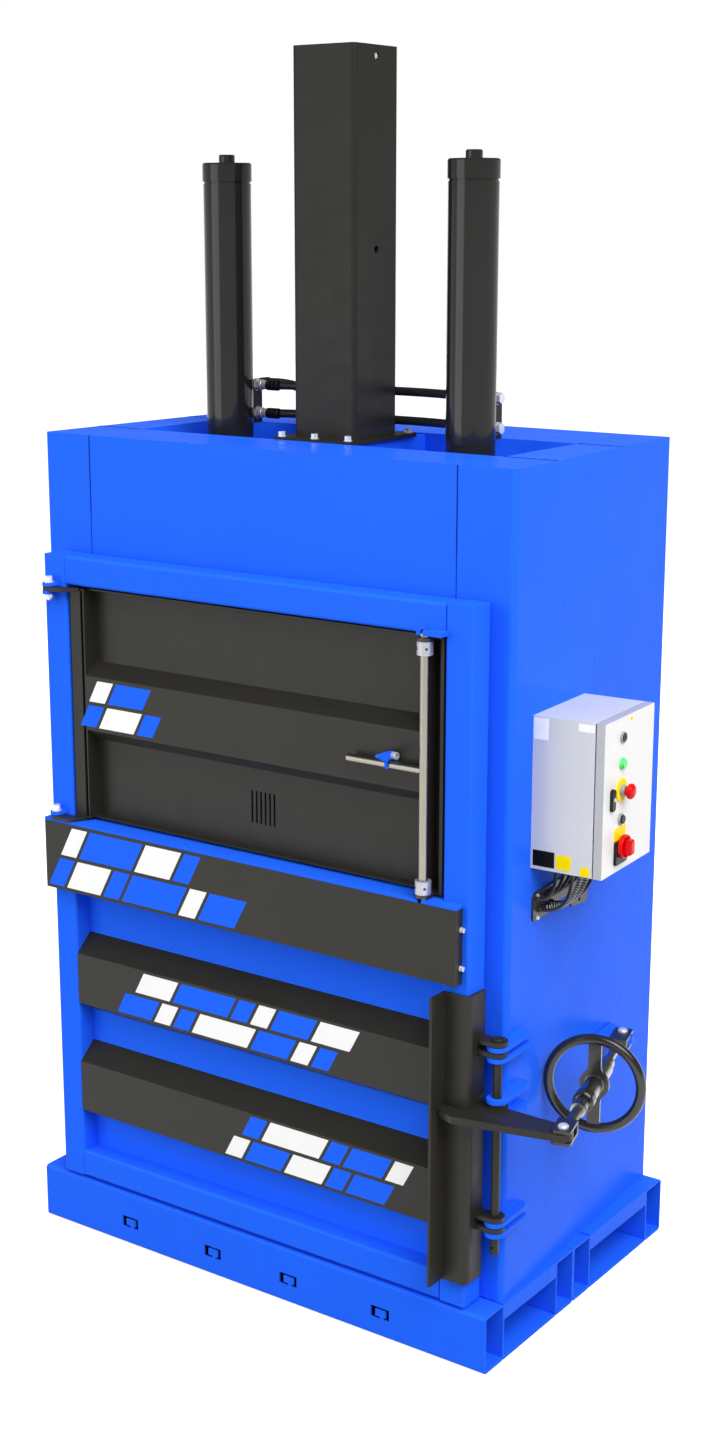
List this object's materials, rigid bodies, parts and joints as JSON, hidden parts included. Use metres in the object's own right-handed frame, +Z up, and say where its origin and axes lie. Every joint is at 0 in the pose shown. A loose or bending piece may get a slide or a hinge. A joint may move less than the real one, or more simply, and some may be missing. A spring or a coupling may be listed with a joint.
{
  "type": "recycling baler",
  "caption": "Tall vertical recycling baler with twin press cylinders, a central guide tube, a hinged door with an upper feed gate, a handwheel door clamp and a side control box.",
  "frame": {"origin": "middle of the pallet base's underside, on the floor", "axes": "+Z up, +X to the right seen from the front, +Y towards the back"},
  "size_m": [1.8102, 1.0695, 3.38],
  "materials": {
    "blue_paint": "gloss enamel",
    "black_paint": "satin powder coat",
    "gloss_black_paint": "gloss enamel",
    "press_paint": "satin enamel, worn",
    "chromed_rod": "ground hard chrome",
    "bright_steel": "drawn bright",
    "zinc_plate": "zinc plated",
    "dark_steel": "oiled dark steel",
    "hose_rubber": "matt rubber",
    "cable_sheath": "matt sheath",
    "grey_paint": "fine textured powder coat",
    "pale_paint": "fine textured powder coat",
    "black_plastic": "matt",
    "red_plastic": "gloss",
    "green_plastic": "gloss"
  },
  "bodies": {
    "machine": {"front_beam": "blue_paint", "centre_beams": "blue_paint", "rear_beam": "blue_paint", "pocket_plates": "blue_paint", "chamber_floor": "blue_paint", "left_side_wall": "blue_paint", "right_side_wall": "blue_paint", "header": "blue_paint", "rear_wall": "blue_paint", "rear_top_beam": "blue_paint", "top_bridge": "blue_paint", "cylinder_deck": "blue_paint", "left_cylinder": "gloss_black_paint", "right_cylinder": "gloss_black_paint", "guide_tube": "black_paint", "frame_bolts": "zinc_plate", "port_blocks": "black_paint", "port_fittings": "zinc_plate", "hydraulic_hoses": "hose_rubber", "hinge_posts": "blue_paint", "post_lugs": "blue_paint", "jaw_pin": "black_paint", "anchor_plate": "blue_paint", "control_box": "grey_paint", "gland_plate": "black_paint", "control_cables": "cable_sheath"},
    "platen": {"piston_rods": "chromed_rod", "mast": "press_paint", "platen": "press_paint"},
    "main_door": {"door_left_stile": "blue_paint", "door_right_stile": "blue_paint", "door_top_rail": "blue_paint", "door_mid_rail": "blue_paint", "door_bottom_rail": "blue_paint", "door_skin": "blue_paint", "door_ribs": "black_paint", "mid_band": "black_paint", "sill_strip": "blue_paint", "door_bolts": "zinc_plate", "hinge_knuckles": "blue_paint", "gate_ears": "blue_paint", "rod_keeper": "blue_paint"},
    "gate": {"feed_gate": "black_paint", "gate_lugs": "black_paint", "rod_brackets": "black_paint"},
    "lock_rod": {"lock_rod": "bright_steel"},
    "gate_catch": {"gate_catch": "blue_paint"},
    "clamp_jaw": {"jaw_channel": "black_paint", "jaw_plates": "black_paint"},
    "rear_screw": {"rear_screw": "dark_steel"},
    "handwheel": {"handwheel": "dark_steel"},
    "front_screw": {"front_screw": "dark_steel", "arm_bolt": "zinc_plate"},
    "control_door": {"control_door": "pale_paint", "panel_fittings": "black_plastic"},
    "stop_head": {"stop_head": "red_plastic"},
    "start_button": {"start_button": "green_plastic"},
    "reset_button": {"reset_button": "black_plastic"},
    "key_switch": {"key_switch": "bright_steel"},
    "isolator_handle": {"isolator_handle": "red_plastic"}
  },
  "joints": [
    {"name": "platen_press", "type": "slide", "parent": "machine", "child": "platen", "axis": [0, 0, -1], "range_m": [0, 0.73]},
    {"name": "door_swing", "type": "hinge", "parent": "machine", "child": "main_door", "pos_m": [-0.721, -0.44, 1.1], "axis": [0, 0, -1], "range_deg": [0, 110]},
    {"name": "gate_swing", "type": "hinge", "parent": "main_door", "child": "gate", "pos_m": [-0.661, -0.52, 1.6], "axis": [0, 0, -1], "range_deg": [0, 120]},
    {"name": "rod_turn", "type": "hinge", "parent": "gate", "child": "lock_rod", "pos_m": [0.585, -0.512, 1.612], "axis": [0, 0, 1], "range_deg": [0, 105]},
    {"name": "catch_lift", "type": "hinge", "parent": "gate", "child": "gate_catch", "pos_m": [0.48, -0.503, 1.634], "axis": [-1, 0, 0], "range_deg": [0, 60]},
    {"name": "handwheel_turn", "type": "hinge", "parent": "rear_screw", "child": "handwheel", "pos_m": [0.89762, -0.16, 0.732], "axis": [0.265, -0.9643, 0], "range_deg": [0, 2005.91]},
    {"name": "jaw_swing", "type": "hinge", "parent": "machine", "child": "clamp_jaw", "pos_m": [0.775, -0.45, 0.732], "axis": [0, 0, 1], "range_deg": [0, 38.2]},
    {"name": "screw_swing", "type": "hinge", "parent": "machine", "child": "rear_screw", "pos_m": [0.81024, 0.158, 0.732], "axis": [0, 0, 1], "range_deg": [0, 1.21]},
    {"name": "screw_draw", "type": "slide", "parent": "rear_screw", "child": "front_screw", "axis": [-0.265, 0.9643, 0], "range_m": [0, 0.13403]},
    {"name": "control_door_swing", "type": "hinge", "parent": "machine", "child": "control_door", "pos_m": [0.89048, 0.01195, 1.535], "axis": [0, 0, 1], "range_deg": [0, 120]},
    {"name": "stop_press", "type": "slide", "parent": "control_door", "child": "stop_head", "axis": [-0.9985, -0.0548, 0], "range_m": [0, 0.006], "stiffness_N_per_m": 800, "springref_m": -0.002},
    {"name": "start_press", "type": "slide", "parent": "control_door", "child": "start_button", "axis": [-0.9985, -0.0548, 0], "range_m": [0, 0.004], "stiffness_N_per_m": 500, "springref_m": -0.002},
    {"name": "reset_press", "type": "slide", "parent": "control_door", "child": "reset_button", "axis": [-0.9985, -0.0548, 0], "range_m": [0, 0.004], "stiffness_N_per_m": 500, "springref_m": -0.002},
    {"name": "key_turn", "type": "hinge", "parent": "control_door", "child": "key_switch", "pos_m": [0.95801, -0.17824, 1.684], "axis": [0.9985, 0.0548, 0], "range_deg": [0, 90]},
    {"name": "isolator_turn", "type": "hinge", "parent": "control_door", "child": "isolator_handle", "pos_m": [0.95801, -0.17824, 1.401], "axis": [0.9985, 0.0548, 0], "range_deg": [0, 90]}
  ],
  "couplings": [
    {"joint": "jaw_swing", "follows": "handwheel_turn", "ratio": 0.018944},
    {"joint": "screw_swing", "follows": "handwheel_turn", "ratio": 0.00057805},
    {"joint": "screw_draw", "follows": "handwheel_turn", "m_per_rad": 0.0038197}
  ]
}
